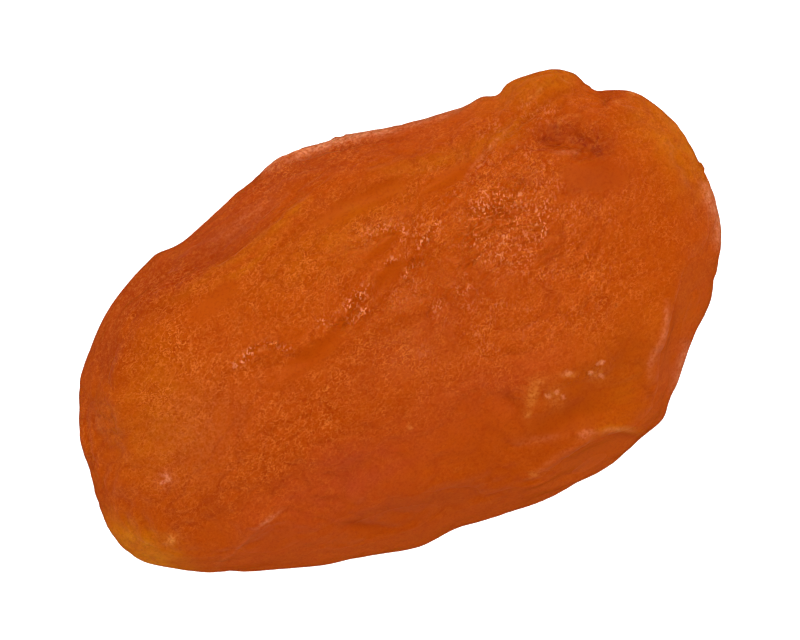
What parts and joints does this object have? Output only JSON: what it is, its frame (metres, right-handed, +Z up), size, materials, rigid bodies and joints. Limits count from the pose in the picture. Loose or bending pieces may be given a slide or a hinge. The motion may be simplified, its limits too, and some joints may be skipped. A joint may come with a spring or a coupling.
{
  "type": "dried apricot",
  "caption": "Whole pitted dried apricot: a flattened, wrinkled orange fruit with a raised shoulder fold, a stem-scar pit and a flat resting spot.",
  "frame": {"origin": "on the surface that the fruit rests on, under the middle of its outline", "axes": "+X along the fruit to its stem end, +Y across it to the long shoulder, +Z up"},
  "size_m": [0.044, 0.027, 0.0106],
  "materials": {
    "flesh": "moist satin fruit skin, deep orange, slightly translucent"
  },
  "bodies": {
    "root": {"apricot": "flesh"}
  },
  "joints": []
}
